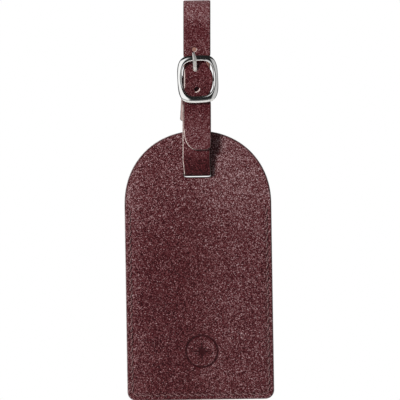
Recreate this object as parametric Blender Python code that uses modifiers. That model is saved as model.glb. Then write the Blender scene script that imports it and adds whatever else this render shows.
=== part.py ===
"""Leather luggage tag: a stitched two-panel sleeve hung on a buckled leather strap.

Blender 4.5, metres, +Z up. The origin is where the strap loop hangs on a bag handle: the middle of
the loop's inside top. +X runs across the tag and the front of the tag faces -Y.
"""

import math

import bmesh
import bpy
from mathutils import Vector

MM = 0.001

# --- Driving dimensions -----------------------------------------------------------------------
STRAP_WIDTH = 12.0 * MM
STRAP_THICKNESS = 1.2 * MM
TAG_WIDTH = 66.0 * MM
TAG_HEIGHT = 121.0 * MM
TAG_CORNER_RADIUS = 4.0 * MM
TAG_BOTTOM = -178.5 * MM
BUCKLE_WIDTH = 18.2 * MM
BUCKLE_HEIGHT = 21.6 * MM
CARD_WIDTH = 54.0 * MM
CARD_HEIGHT = 85.0 * MM

# --- Gaps between neighbours ------------------------------------------------------------------
GAP = 0.2 * MM
PANEL_GAP = 0.3 * MM

# --- Panels: the front face is at -TAG_HALF_DEPTH, the back face at +TAG_HALF_DEPTH ------------
FRONT_THICKNESS = 1.5 * MM
BACK_THICKNESS = 1.6 * MM
TAG_HALF_DEPTH = (FRONT_THICKNESS + PANEL_GAP + BACK_THICKNESS) / 2
PANEL_BEVEL = 0.25 * MM
FRONT_RECESS = 0.4 * MM
BACK_RECESS = 0.9 * MM
POCKET_WIDTH = CARD_WIDTH + 3.0 * MM
POCKET_FLOOR = TAG_BOTTOM + 4.2 * MM
ARCH_RISE = TAG_WIDTH / 2
ARCH_POWER = 2.1
TAG_TOP = TAG_BOTTOM + TAG_HEIGHT
ARCH_FOOT = TAG_TOP - ARCH_RISE
ARCH_STEPS = 36
CORNER_STEPS = 6

# --- The slot that the strap runs through -----------------------------------------------------
SLOT_WIDTH = STRAP_WIDTH + 0.6 * MM
SLOT_BOTTOM = -78.4 * MM
SLOT_HEIGHT = 2.2 * MM
SLOT_TOP = SLOT_BOTTOM + SLOT_HEIGHT
SLOT_PLAY = 0.45 * MM
SLOT_END_RADIUS = 1.0 * MM

# --- Window, film and address card ------------------------------------------------------------
CARD_BOTTOM = TAG_BOTTOM + 4.6 * MM
CARD_THICKNESS = 0.4 * MM
WINDOW_WIDTH = 44.0 * MM
WINDOW_HEIGHT = 66.0 * MM
WINDOW_MIDDLE = CARD_BOTTOM + CARD_HEIGHT / 2
WINDOW_RADIUS = 3.0 * MM
FILM_MARGIN = 3.0 * MM
FILM_THICKNESS = 0.3 * MM
FILM_STANDOFF = 0.1 * MM

# --- Seam: two threads in round grooves along both sides and the bottom ------------------------
SEAM_INSET = 2.3 * MM
SEAM_TOP = ARCH_FOOT - 2.0 * MM
THREAD_RADIUS = 0.28 * MM
THREAD_DEPTH = 0.15 * MM
GROOVE_RADIUS = 0.6 * MM

# --- Strap route, seen from +X: pairs of (y, z) ------------------------------------------------
BAR_RADIUS = 0.75 * MM
BAR_Y = -6.6 * MM
BAR_Z = -34.8 * MM
BAR_GAP = 0.15 * MM
FOLD_RADIUS = BAR_RADIUS + BAR_GAP + STRAP_THICKNESS / 2
LAYER_PITCH = STRAP_THICKNESS + GAP
TAIL_FALL_START = -1.7 * MM
TAIL_FALL_END = -8.2 * MM
PAIR_SHIFT = 0.5 * MM
MAIN_Y = BAR_Y + PAIR_SHIFT - LAYER_PITCH / 2
TURNED_Y = MAIN_Y + LAYER_PITCH
TURNED_END_Z = -53.0 * MM
TURNED_SKEW = -0.7 * MM
TURNED_ROWS = 6
TAIL_Y = MAIN_Y - LAYER_PITCH
TAIL_OVER_BAR_Y = BAR_Y - FOLD_RADIUS - LAYER_PITCH
LOOP_TOP = STRAP_THICKNESS / 2
SLOT_RUN_Z = SLOT_TOP - SLOT_PLAY - STRAP_THICKNESS / 2
SLOT_LEG_Y = TAG_HALF_DEPTH + 0.3 * MM + STRAP_THICKNESS / 2
SLOT_BEND_RADIUS = 0.6 * MM + STRAP_THICKNESS / 2
TIP_Y = -6.05 * MM
TIP_Z = -66.3 * MM
TIP_LEFT = (-0.3 * MM, 8.3 * MM)
TIP_RIGHT = (2.9 * MM, 1.7 * MM)
TIP_ROWS = [d * MM for d in (8.3, 5.6, 3.8, 2.5, 1.7, 1.1, 0.6, 0.25, 0.05)]

# --- Strap holes, measured up from the bar -----------------------------------------------------
HOLE_PITCH = 8.7 * MM
HOLE_RADIUS = 1.15 * MM
PUNCH_DEPTH = 1.6 * MM
USED_HOLE = 3.6 * MM
USED_HOLE_LENGTH = 4.4 * MM
TONGUE_SLOT_WIDTH = 2.6 * MM
TONGUE_SLOT_BELOW = 2.2 * MM

# --- Stitches that close the fold round the buckle bar -----------------------------------------
FOLD_STITCH_ROWS = {"fold_stitch_upper": -46.2 * MM, "fold_stitch_lower": -50.4 * MM}
FOLD_STITCH_PITCH = 2.8 * MM
FOLD_THREAD_RADIUS = 0.22 * MM
FOLD_THREAD_DEPTH = 0.1 * MM
FOLD_GROOVE_GAP = 0.07 * MM

# --- Buckle ------------------------------------------------------------------------------------
FRAME_RADIUS = 1.05 * MM
FRAME_END_FORWARD = 3.7 * MM
FRAME_DIP = 1.3 * MM
FRAME_DIP_REACH = 9.0 * MM
FRAME_SQUARENESS = 3.8
FRAME_STEPS = 56
BAR_ARM_BEND = 1.1 * MM
TONGUE_WIDTH = 1.7 * MM
TONGUE_THICKNESS = 0.8 * MM
EYE_RADIUS = BAR_RADIUS + 0.1 * MM + TONGUE_THICKNESS / 2
TONGUE_TIP_Z = 13.3 * MM


# --- Scene and material helpers ----------------------------------------------------------------


def clear_scene():
    for obj in list(bpy.data.objects):
        bpy.data.objects.remove(obj)


def new_collection(name):
    collection = bpy.data.collections.new(name)
    bpy.context.scene.collection.children.link(collection)
    return collection


def new_material(name, colour, roughness, metallic=0.0, alpha=1.0):
    material = bpy.data.materials.new(name)
    material.use_nodes = True
    shader = material.node_tree.nodes["Principled BSDF"]
    shader.inputs["Base Color"].default_value = (*colour, 1.0)
    shader.inputs["Roughness"].default_value = roughness
    shader.inputs["Metallic"].default_value = metallic
    shader.inputs["Alpha"].default_value = alpha
    return material


def add_object(name, data, collection, material=None):
    obj = bpy.data.objects.new(name, data)
    collection.objects.link(obj)
    if material:
        data.materials.append(material)
    return obj


def mesh_object(name, points, faces, collection, material=None):
    mesh = bpy.data.meshes.new(name)
    mesh.from_pydata([tuple(p) for p in points], [], faces)
    return add_object(name, mesh, collection, material)


def as_mesh(obj):
    """A curve object made a mesh object of the same name, with its caps welded to its sides."""
    bpy.context.view_layer.update()
    graph = bpy.context.evaluated_depsgraph_get()
    mesh = bpy.data.meshes.new_from_object(obj.evaluated_get(graph))
    welding = bmesh.new()
    welding.from_mesh(mesh)
    bmesh.ops.remove_doubles(welding, verts=welding.verts, dist=0.001 * MM)
    bmesh.ops.recalc_face_normals(welding, faces=welding.faces)
    welding.to_mesh(mesh)
    welding.free()
    made = bpy.data.objects.new(obj.name, mesh)
    made.matrix_world = obj.matrix_world
    for collection in obj.users_collection:
        collection.objects.link(made)
    name = obj.name
    bpy.data.objects.remove(obj)
    made.name = name
    return made


def helper(obj):
    """Marks an object as a cutter that isn't part of the tag."""
    obj.hide_render = True
    obj.display_type = "WIRE"
    return obj


def combine(target, other, operation):
    modifier = target.modifiers.new(operation.title(), "BOOLEAN")
    modifier.operation = operation
    modifier.object = other
    modifier.solver = "EXACT"


def smooth(obj, degrees=35):
    obj.data.shade_smooth()
    obj.data.set_sharp_from_angle(angle=math.radians(degrees))


# --- Shape helpers -----------------------------------------------------------------------------


def arc(centre, radius, start, end, steps):
    """Points of an arc in the plane, angles in degrees, both ends included."""
    found = []
    for i in range(steps + 1):
        angle = math.radians(start + (end - start) * i / steps)
        found.append((centre[0] + radius * math.cos(angle), centre[1] + radius * math.sin(angle)))
    return found


def rounded_box(width, height, middle_z, radius):
    """A rectangle with round corners in the X-Z plane, anticlockwise."""
    x, z = width / 2 - radius, height / 2 - radius
    found = []
    for sx, sz, start in ((1, 1, 0), (-1, 1, 90), (-1, -1, 180), (1, -1, 270)):
        found += arc((sx * x, middle_z + sz * z), radius, start, start + 90, CORNER_STEPS)
    return found


def tag_outline():
    """The arched outline of both panels in the X-Z plane."""
    x, z = TAG_WIDTH / 2 - TAG_CORNER_RADIUS, TAG_BOTTOM + TAG_CORNER_RADIUS
    arch = []
    for i in range(ARCH_STEPS + 1):
        angle = math.pi * i / ARCH_STEPS
        across = math.copysign(abs(math.cos(angle)) ** (2 / ARCH_POWER), math.cos(angle))
        rise = abs(math.sin(angle)) ** (2 / ARCH_POWER)
        arch.append((across * TAG_WIDTH / 2, ARCH_FOOT + rise * ARCH_RISE))
    return (
        arch
        + arc((-x, z), TAG_CORNER_RADIUS, 180, 270, CORNER_STEPS)
        + arc((x, z), TAG_CORNER_RADIUS, 270, 360, CORNER_STEPS)
    )


def plate(name, outline, front_y, thickness, collection, material=None):
    """A flat sheet cut to an outline in the X-Z plane, from front_y backwards."""
    curve = bpy.data.curves.new(name, "CURVE")
    curve.dimensions = "2D"
    curve.fill_mode = "BOTH"
    curve.extrude = thickness / 2
    spline = curve.splines.new("POLY")
    spline.points.add(len(outline) - 1)
    for point, (x, z) in zip(spline.points, outline):
        point.co = (x, z, 0, 1)
    spline.use_cyclic_u = True
    obj = add_object(name, curve, collection, material)
    obj.rotation_euler = (math.pi / 2, 0, 0)
    obj.location = (0, front_y + thickness / 2, 0)
    return as_mesh(obj)


def tube(name, points, radius, collection, material=None, cyclic=False, resolution=2):
    """A round cord or rod along a list of points."""
    curve = bpy.data.curves.new(name, "CURVE")
    curve.dimensions = "3D"
    curve.bevel_depth = radius
    curve.bevel_resolution = resolution
    curve.use_fill_caps = not cyclic
    spline = curve.splines.new("POLY")
    spline.points.add(len(points) - 1)
    for point, place in zip(spline.points, points):
        point.co = (*place, 1)
    spline.use_cyclic_u = cyclic
    return add_object(name, curve, collection, material)


def box(name, low, high, collection):
    shape = bmesh.new()
    bmesh.ops.create_cube(shape, size=1)
    bmesh.ops.scale(shape, vec=Vector(high) - Vector(low), verts=shape.verts)
    bmesh.ops.translate(shape, vec=(Vector(low) + Vector(high)) / 2, verts=shape.verts)
    mesh = bpy.data.meshes.new(name)
    shape.to_mesh(mesh)
    shape.free()
    return add_object(name, mesh, collection)


def punch(name, front, back, radius, stretch_z, collection, sides=16):
    """A round punch along Y from front to back. stretch_z pulls its top and bottom halves apart."""
    shape = bmesh.new()
    bmesh.ops.create_cone(
        shape, cap_ends=True, segments=sides, radius1=radius, radius2=radius, depth=back - front
    )
    for vertex in shape.verts:
        x, y, z = vertex.co
        across = y + math.copysign(stretch_z / 2, y) if abs(y) > 1e-9 else y
        vertex.co = (x, z + (front + back) / 2, across)
    bmesh.ops.recalc_face_normals(shape, faces=shape.faces)
    mesh = bpy.data.meshes.new(name)
    shape.to_mesh(mesh)
    shape.free()
    return add_object(name, mesh, collection)


def rounded_route(corners, degrees_per_step=11):
    """A polyline through (y, z, radius) corners, each corner turned into an arc of its radius."""
    points = [Vector(corners[0][:2])]
    for before, corner, after in zip(corners, corners[1:], corners[2:]):
        here, radius = Vector(corner[:2]), corner[2]
        incoming = (here - Vector(before[:2])).normalized()
        outgoing = (Vector(after[:2]) - here).normalized()
        turn = incoming.angle_signed(outgoing)
        if abs(turn) < 1e-4:
            continue
        setback = radius * math.tan(abs(turn) / 2)
        start = here - incoming * setback
        side = math.copysign(1, turn)
        centre = start + Vector((incoming.y, -incoming.x)) * side * radius
        steps = max(2, math.ceil(math.degrees(abs(turn)) / degrees_per_step))
        spoke = start - centre
        for i in range(steps + 1):
            angle = -turn * i / steps
            cos, sin = math.cos(angle), math.sin(angle)
            points.append(centre + Vector((spoke.x * cos - spoke.y * sin, spoke.x * sin + spoke.y * cos)))
    points.append(Vector(corners[-1][:2]))
    kept = points[:1]
    for point in points[1:]:
        if (point - kept[-1]).length > 0.02 * MM:
            kept.append(point)
    return kept


def strip(name, route, edges, thickness, collection, material):
    """A strip along a (y, z) route, with the (left, right) X of each row: a surface with Solidify."""
    points, faces = [], []
    for place, sides in zip(route, edges):
        for x in sides:
            points.append((x, place.x, place.y))
    for i in range(len(route) - 1):
        faces.append((2 * i, 2 * i + 1, 2 * i + 3, 2 * i + 2))
    obj = mesh_object(name, points, faces, collection, material)
    solid = obj.modifiers.new("Thickness", "SOLIDIFY")
    solid.thickness = thickness
    solid.offset = 0
    solid.use_even_offset = True
    return obj


# --- Panels, window film, card and seam --------------------------------------------------------


def panel(name, front_y, thickness, recess_front, recess_depth, collection, cutters, material):
    """One arched leather panel with the strap slot and the skived pocket on its inner face."""
    made = plate(name, tag_outline(), front_y, thickness, collection, material)
    bevel = made.modifiers.new("Edge", "BEVEL")
    bevel.width = PANEL_BEVEL
    bevel.segments = 1
    slot = plate(
        name + "_slot_cutter",
        rounded_box(SLOT_WIDTH, SLOT_HEIGHT, (SLOT_TOP + SLOT_BOTTOM) / 2, SLOT_END_RADIUS),
        front_y - 1 * MM,
        thickness + 2 * MM,
        cutters,
    )
    combine(made, helper(slot), "DIFFERENCE")
    pocket = box(
        name + "_pocket_cutter",
        (-POCKET_WIDTH / 2, recess_front, POCKET_FLOOR),
        (POCKET_WIDTH / 2, recess_front + recess_depth, TAG_TOP + 5 * MM),
        cutters,
    )
    combine(made, helper(pocket), "DIFFERENCE")
    return made


def seam_route(y):
    """The U-shaped stitch line, inset from the edge, from the left shoulder round to the right one."""
    x = TAG_WIDTH / 2 - SEAM_INSET
    radius = TAG_CORNER_RADIUS - SEAM_INSET / 2
    low = TAG_BOTTOM + SEAM_INSET
    outline = (
        [(-x, SEAM_TOP)]
        + arc((-x + radius, low + radius), radius, 180, 270, CORNER_STEPS)
        + arc((x - radius, low + radius), radius, 270, 360, CORNER_STEPS)
        + [(x, SEAM_TOP)]
    )
    return [(px, y, pz) for px, pz in outline]


def groove(target, y, cutters):
    longer = seam_route(y)
    longer[0] = (longer[0][0], y, SEAM_TOP + 1 * MM)
    longer[-1] = (longer[-1][0], y, SEAM_TOP + 1 * MM)
    cutter = as_mesh(tube(target.name + "_groove_cutter", longer, GROOVE_RADIUS, cutters))
    combine(target, helper(cutter), "DIFFERENCE")


def build_sleeve(parts, cutters, leather, thread, film, paper):
    front_y = -TAG_HALF_DEPTH
    front = panel(
        "front_panel",
        front_y,
        FRONT_THICKNESS,
        front_y + FRONT_THICKNESS - FRONT_RECESS,
        FRONT_RECESS + 1 * MM,
        parts,
        cutters,
        leather,
    )
    back_front_y = TAG_HALF_DEPTH - BACK_THICKNESS
    back = panel(
        "back_panel",
        back_front_y,
        BACK_THICKNESS,
        back_front_y - 1 * MM,
        BACK_RECESS + 1 * MM,
        parts,
        cutters,
        leather,
    )
    window = plate(
        "window_cutter",
        rounded_box(WINDOW_WIDTH, WINDOW_HEIGHT, WINDOW_MIDDLE, WINDOW_RADIUS),
        back_front_y - 1 * MM,
        BACK_THICKNESS + 2 * MM,
        cutters,
    )
    combine(back, helper(window), "DIFFERENCE")
    groove(front, front_y, cutters)
    groove(back, TAG_HALF_DEPTH, cutters)
    for name, y in (
        ("seam_needle_thread", front_y + THREAD_DEPTH),
        ("seam_bobbin_thread", TAG_HALF_DEPTH - THREAD_DEPTH),
    ):
        as_mesh(tube(name, seam_route(y), THREAD_RADIUS, parts, thread))

    pocket_back = back_front_y + BACK_RECESS
    plate(
        "window_film",
        rounded_box(
            WINDOW_WIDTH + 2 * FILM_MARGIN, WINDOW_HEIGHT + 2 * FILM_MARGIN, WINDOW_MIDDLE, WINDOW_RADIUS
        ),
        pocket_back - FILM_STANDOFF - FILM_THICKNESS,
        FILM_THICKNESS,
        parts,
        film,
    )
    pocket_front = front_y + FRONT_THICKNESS - FRONT_RECESS
    film_front = pocket_back - FILM_STANDOFF - FILM_THICKNESS
    plate(
        "address_card",
        rounded_box(CARD_WIDTH, CARD_HEIGHT, CARD_BOTTOM + CARD_HEIGHT / 2, 2 * MM),
        (pocket_front + film_front - CARD_THICKNESS) / 2,
        CARD_THICKNESS,
        parts,
        paper,
    )


# --- Strap -------------------------------------------------------------------------------------


def strap_corners():
    """The strap's centreline from its turned end, round the bar, through the slot and over the loop."""
    bar_back, bar_front = BAR_Y + FOLD_RADIUS, BAR_Y - FOLD_RADIUS
    return [
        (TURNED_Y, TURNED_END_Z, 0),
        (TURNED_Y, BAR_Z - 5.0 * MM, 4 * MM),
        (bar_back, BAR_Z - 1.0 * MM, 4 * MM),
        (bar_back, BAR_Z + FOLD_RADIUS, FOLD_RADIUS),
        (bar_front, BAR_Z + FOLD_RADIUS, FOLD_RADIUS),
        (bar_front, BAR_Z - 1.2 * MM, 4 * MM),
        (MAIN_Y, BAR_Z - 7.7 * MM, 5 * MM),
        (MAIN_Y, -53.0 * MM, 14 * MM),
        (-SLOT_LEG_Y, SLOT_RUN_Z, SLOT_BEND_RADIUS),
        (SLOT_LEG_Y, SLOT_RUN_Z, SLOT_BEND_RADIUS),
        (-TAIL_Y, -46.0 * MM, 25 * MM),
        (-TAIL_Y, LOOP_TOP, -TAIL_Y),
        (TAIL_Y, LOOP_TOP, -TAIL_Y),
        (TAIL_Y, BAR_Z + 8.2 * MM, 5 * MM),
        (TAIL_OVER_BAR_Y, BAR_Z + 1.7 * MM, 5 * MM),
        (TAIL_OVER_BAR_Y, BAR_Z + TAIL_FALL_START, 5 * MM),
        (TAIL_Y, BAR_Z + TAIL_FALL_END, 3.5 * MM),
        (TAIL_Y, -53.0 * MM, 14 * MM),
        (TIP_Y, TIP_Z, 0),
    ]


def tip_edge(corner, from_tip):
    """How far out the rounded tip reaches on one side, at a distance from its end."""
    flat, length = corner
    if from_tip >= length:
        return STRAP_WIDTH / 2
    rise = math.sqrt(1 - (1 - from_tip / length) ** 2)
    return abs(flat) + (STRAP_WIDTH / 2 - abs(flat)) * rise


def strap_rows():
    """The strap's route with rows added for its tip, and the left and right X of each row."""
    route = rounded_route(strap_corners())
    end, before = route[-1], route[-2]
    along = (before - end).normalized()
    rows = route[:-1]
    edges = []
    for i in range(len(rows)):
        shift = TURNED_SKEW * max(0.0, 1 - i / TURNED_ROWS)
        edges.append((shift - STRAP_WIDTH / 2, shift + STRAP_WIDTH / 2))
    for from_tip in TIP_ROWS:
        rows.append(end + along * from_tip)
        edges.append((-tip_edge(TIP_LEFT, from_tip), tip_edge(TIP_RIGHT, from_tip)))
    return rows, edges


def hole_cutter(name, z, cutters, length=0.0):
    """A punch through the tail from the front to just behind it."""
    back = TAIL_Y - STRAP_THICKNESS / 2 + PUNCH_DEPTH
    stretch = max(0.0, length - 2 * HOLE_RADIUS)
    cutter = punch(name, back - 5 * MM, back, HOLE_RADIUS, stretch, cutters)
    cutter.location = (0, 0, z)
    return helper(cutter)


def lower_hole_cutter(name, z, cutters):
    """The same punch where the tail runs down off the bar: square to the leather and ending behind it."""
    fall_y, fall_z = TAIL_Y - TAIL_OVER_BAR_Y, TAIL_FALL_START - TAIL_FALL_END
    share = (BAR_Z + TAIL_FALL_START - z) / fall_z
    cutter = punch(name, -3 * MM, STRAP_THICKNESS / 2 + GAP / 2, HOLE_RADIUS, 0.0, cutters)
    cutter.location = (0, TAIL_OVER_BAR_Y + share * fall_y, z)
    cutter.rotation_euler = (math.atan2(fall_y, fall_z), 0, 0)
    return helper(cutter)


def fold_stitch_points(z, overrun=0.0):
    """A running stitch across the folded end: back, front, back, front, back."""
    half = FOLD_STITCH_PITCH / 2
    front = MAIN_Y - STRAP_THICKNESS / 2 + FOLD_THREAD_DEPTH
    back = TURNED_Y + STRAP_THICKNESS / 2 - FOLD_THREAD_DEPTH
    xs = [-3 * half, -half, half, 3 * half]
    points = [(xs[0] - half * 0.8 - overrun, back, z)]
    for i, x in enumerate(xs):
        first, second = (back, front) if i % 2 == 0 else (front, back)
        points += [(x, first, z), (x, second, z)]
    points.append((xs[-1] + half * 0.8 + overrun, back, z))
    return points


def sew_fold(name, z, strap, parts, cutters, thread):
    """One row of thread, and the holes and grooves that it lies in."""
    as_mesh(tube(name, fold_stitch_points(z), FOLD_THREAD_RADIUS, parts, thread, resolution=1))
    path = fold_stitch_points(z, overrun=FOLD_GROOVE_GAP)
    cutter = tube(name + "_cutter", path, FOLD_THREAD_RADIUS + FOLD_GROOVE_GAP, cutters, resolution=1)
    combine(strap, helper(as_mesh(cutter)), "DIFFERENCE")


def build_strap(parts, cutters, leather, thread):
    rows, edges = strap_rows()
    strap = strip("strap", rows, edges, STRAP_THICKNESS, parts, leather)
    slot_front = BAR_Y - FOLD_RADIUS - STRAP_THICKNESS / 2 - GAP / 2
    tongue_slot = box(
        "tongue_slot_cutter",
        (-TONGUE_SLOT_WIDTH / 2, slot_front, BAR_Z - TONGUE_SLOT_BELOW),
        (TONGUE_SLOT_WIDTH / 2, BAR_Y + 4 * MM, BAR_Z + 4 * MM),
        cutters,
    )
    combine(strap, helper(tongue_slot), "DIFFERENCE")
    used = hole_cutter("used_hole_cutter", BAR_Z + USED_HOLE, cutters, USED_HOLE_LENGTH)
    combine(strap, used, "DIFFERENCE")
    free_middle = BAR_Z + USED_HOLE + 0.6 * MM
    combine(strap, hole_cutter("upper_hole_cutter", free_middle + HOLE_PITCH, cutters), "DIFFERENCE")
    combine(strap, lower_hole_cutter("lower_hole_cutter", free_middle - HOLE_PITCH, cutters), "DIFFERENCE")

    for name, z in FOLD_STITCH_ROWS.items():
        sew_fold(name, z, strap, parts, cutters, thread)


# --- Buckle ------------------------------------------------------------------------------------


def frame_route():
    """The frame's centreline: a superellipse whose side rails dip back to carry the bar."""
    half_width, half_height = BUCKLE_WIDTH / 2 - FRAME_RADIUS, BUCKLE_HEIGHT / 2 - FRAME_RADIUS
    power = 2 / FRAME_SQUARENESS
    points = []
    for i in range(FRAME_STEPS):
        angle = 2 * math.pi * i / FRAME_STEPS
        cos, sin = math.cos(angle), math.sin(angle)
        x = half_width * math.copysign(abs(cos) ** power, cos)
        z = half_height * math.copysign(abs(sin) ** power, sin)
        dip = FRAME_DIP * math.cos(min(abs(z) / FRAME_DIP_REACH, 1) * math.pi / 2) ** 2
        points.append((x, -FRAME_END_FORWARD + dip, z))
    return points


def even_route(points, count):
    """The same closed loop with its points spaced evenly."""
    closed = [Vector(p) for p in points] + [Vector(points[0])]
    lengths = [(b - a).length for a, b in zip(closed, closed[1:])]
    step = sum(lengths) / count
    found, segment, used = [], 0, 0.0
    for i in range(count):
        goal = i * step
        while used + lengths[segment] < goal:
            used += lengths[segment]
            segment += 1
        share = (goal - used) / lengths[segment]
        found.append(closed[segment].lerp(closed[segment + 1], share))
    return found


def bar_route():
    """The bar, straight across behind the strap, with each end bent forward into its side rail."""
    x, forward = BUCKLE_WIDTH / 2 - FRAME_RADIUS, -(FRAME_END_FORWARD - FRAME_DIP)
    corner = x - BAR_ARM_BEND
    left = arc((-corner, -BAR_ARM_BEND), BAR_ARM_BEND, 180, 90, 4)
    right = arc((corner, -BAR_ARM_BEND), BAR_ARM_BEND, 90, 0, 4)
    return [(px, py, 0) for px, py in [(-x, forward)] + left + right + [(x, forward)]]


def tongue_rows():
    """The tongue's centreline as (forward, up) from the bar: an open eye, a crank and the straight shank."""
    eye = arc((0, 0), EYE_RADIUS, 40, 360, 20)
    top_bar_front = FRAME_END_FORWARD + FRAME_RADIUS + 0.12 * MM + TONGUE_THICKNESS / 2
    top_bar_z = BUCKLE_HEIGHT / 2 - FRAME_RADIUS
    shank = [
        (EYE_RADIUS, 2.0 * MM),
        (EYE_RADIUS + 0.25 * MM, 2.5 * MM),
        (3.35 * MM, 4.6 * MM),
        (3.75 * MM, 5.3 * MM),
        (top_bar_front, top_bar_z - 0.6 * MM),
        (top_bar_front + 0.1 * MM, top_bar_z + 0.9 * MM),
        (top_bar_front - 0.15 * MM, TONGUE_TIP_Z),
    ]
    return eye + shank


def build_buckle(parts, cutters, metal):
    pivot = bpy.data.objects.new("bar_axis", None)
    pivot.location = (0, BAR_Y, BAR_Z)
    parts.objects.link(pivot)

    dense_loop = even_route(frame_route(), FRAME_STEPS)
    frame = as_mesh(tube("buckle_frame", dense_loop, FRAME_RADIUS, parts, metal, cyclic=True))
    frame.parent = pivot
    bar = as_mesh(tube("buckle_bar_tool", bar_route(), BAR_RADIUS, cutters))
    bar.parent = pivot
    combine(frame, helper(bar), "UNION")
    smooth(frame)

    rows = tongue_rows()
    points, faces = [], []
    for i, (forward, up) in enumerate(rows):
        taper = 1.0 if i < len(rows) - 2 else (0.92 if i == len(rows) - 2 else 0.62)
        for side in (-1, 1):
            points.append((side * TONGUE_WIDTH / 2 * taper, -forward, up))
    for i in range(len(rows) - 1):
        faces.append((2 * i, 2 * i + 1, 2 * i + 3, 2 * i + 2))
    tongue = mesh_object("buckle_tongue", points, faces, parts, metal)
    solid = tongue.modifiers.new("Thickness", "SOLIDIFY")
    solid.thickness = TONGUE_THICKNESS
    solid.offset = 0
    solid.use_even_offset = True
    tongue.parent = pivot


def main():
    clear_scene()
    parts = new_collection("luggage_tag")
    cutters = new_collection("cutters")
    leather = new_material("leather", (0.105, 0.022, 0.024), 0.42)
    thread = new_material("thread", (0.13, 0.032, 0.03), 0.6)
    metal = new_material("nickel", (0.78, 0.77, 0.74), 0.12, metallic=1.0)
    film = new_material("film", (0.9, 0.92, 0.94), 0.08, alpha=0.3)
    paper = new_material("paper", (0.86, 0.84, 0.78), 0.8)
    build_sleeve(parts, cutters, leather, thread, film, paper)
    build_strap(parts, cutters, leather, thread)
    build_buckle(parts, cutters, metal)


main()
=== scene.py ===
import math

import bmesh
import bpy
import numpy as np
from mathutils import Matrix, Vector
from mathutils.geometry import delaunay_2d_cdt


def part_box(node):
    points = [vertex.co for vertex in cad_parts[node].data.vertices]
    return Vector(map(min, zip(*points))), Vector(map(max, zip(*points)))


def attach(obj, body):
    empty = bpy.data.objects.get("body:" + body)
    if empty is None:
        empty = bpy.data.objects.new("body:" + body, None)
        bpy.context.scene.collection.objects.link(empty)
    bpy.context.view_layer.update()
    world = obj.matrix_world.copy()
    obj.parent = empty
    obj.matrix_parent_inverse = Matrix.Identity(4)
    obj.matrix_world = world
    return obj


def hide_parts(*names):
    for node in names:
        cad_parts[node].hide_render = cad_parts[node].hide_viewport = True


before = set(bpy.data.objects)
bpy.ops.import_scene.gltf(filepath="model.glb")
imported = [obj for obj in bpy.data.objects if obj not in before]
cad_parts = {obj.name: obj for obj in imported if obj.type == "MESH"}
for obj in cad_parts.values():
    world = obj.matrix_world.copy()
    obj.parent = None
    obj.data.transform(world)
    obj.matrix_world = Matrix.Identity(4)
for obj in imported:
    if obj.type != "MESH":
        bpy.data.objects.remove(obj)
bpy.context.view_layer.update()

MM = 0.001

# ---- Sizes, in millimetres. The CAD gives the places of the pieces; these are the finer shapes on them.

panel_low, panel_high = (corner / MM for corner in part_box("front_panel"))
back_low, back_high = (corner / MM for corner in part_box("back_panel"))
TAG_LEFT, TAG_RIGHT = panel_low.x, panel_high.x
TAG_BOTTOM, TAG_TOP = panel_low.z, panel_high.z
HALF_WIDTH = (TAG_RIGHT - TAG_LEFT) / 2
ARCH_RISE = HALF_WIDTH
ARCH_FOOT = TAG_TOP - ARCH_RISE
ARCH_POWER = 2.1
CORNER_RADIUS = 4.0
SEAM_INSET = 2.3
SEAM_TOP = ARCH_FOOT - 2.0
STITCH_PITCH = 3.05

SLOT_WIDTH, SLOT_LOW, SLOT_HIGH = 11.84, -78.28, -76.2
PIVOT_Z = -77.25

WINDOW_WIDTH, WINDOW_HEIGHT, WINDOW_MIDDLE, WINDOW_RADIUS = 44.0, 66.0, -131.4, 3.0
PANEL_LAP = 0.1

MARK_X, MARK_Z, MARK_RADIUS = 0.9, -156.7, 7.1

STRAP_WIDTH, STRAP_THICKNESS = 12.0, 1.2
BAR_Y, BAR_Z, BAR_RADIUS = -6.6, -34.8, 0.75
USED_HOLE_Z, USED_HOLE_U = BAR_Z + 4.75, -1.05
FOLD_RADIUS = 1.5
LAYER_PITCH = 1.4
MAIN_Y = BAR_Y + 0.5 - LAYER_PITCH / 2
TURNED_Y = MAIN_Y + LAYER_PITCH
TAIL_Y = MAIN_Y - LAYER_PITCH
TAIL_OVER_BAR_Y = BAR_Y - FOLD_RADIUS - LAYER_PITCH
SLOT_PLAY = 0.42
SLOT_RUN_Z = SLOT_HIGH - SLOT_PLAY - STRAP_THICKNESS / 2
SLOT_LEG_Y = 1.7 + 0.3 + STRAP_THICKNESS / 2
SLOT_BEND = 0.6 + STRAP_THICKNESS / 2

# Material indices: the first three are shared by all sheets of leather.
GRAIN_SIDE, CUT_EDGE, FLESH_SIDE = 0, 1, 2
PANEL_PRESSED = 3
# For the strap, index 3 is a pale edge painted on as highlight where light falls, and 4 is its dull edge.
STRAP_HIGHLIGHT_EDGE, STRAP_DULL = 3, 4


# ---- Plane geometry


def arc(centre, radius, start, end, steps):
    found = []
    for i in range(steps + 1):
        angle = math.radians(start + (end - start) * i / steps)
        found.append((centre[0] + radius * math.cos(angle), centre[1] + radius * math.sin(angle)))
    return found


def ellipse(centre, across, up, start, end, steps):
    return [
        (centre[0] + across * math.cos(a), centre[1] + up * math.sin(a))
        for a in np.radians(np.linspace(start, end, steps + 1))
    ]


def rounded_box(left, right, low, high, radius):
    """A rectangle with round corners, anticlockwise."""
    found = []
    for x, z, start in (
        (right - radius, high - radius, 0),
        (left + radius, high - radius, 90),
        (left + radius, low + radius, 180),
        (right - radius, low + radius, 270),
    ):
        found += arc((x, z), radius, start, start + 90, 8)
    return found


def columns(*parts):
    return np.stack(parts, axis=1)


def unit(rows):
    return rows / np.linalg.norm(rows, axis=1)[:, None]


def lengths_along(line):
    """How far along a polyline each of its points is."""
    return np.concatenate([[0], np.cumsum(np.linalg.norm(np.diff(line, axis=0), axis=1))])


def smoothed(line, times, first=1):
    """The line with its corners softened, from the point of index first to the one before the last."""
    for _ in range(times):
        line[first:-1] = (line[first - 1 : -2] + 2 * line[first:-1] + line[first + 1 :]) / 4
    return line


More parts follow.
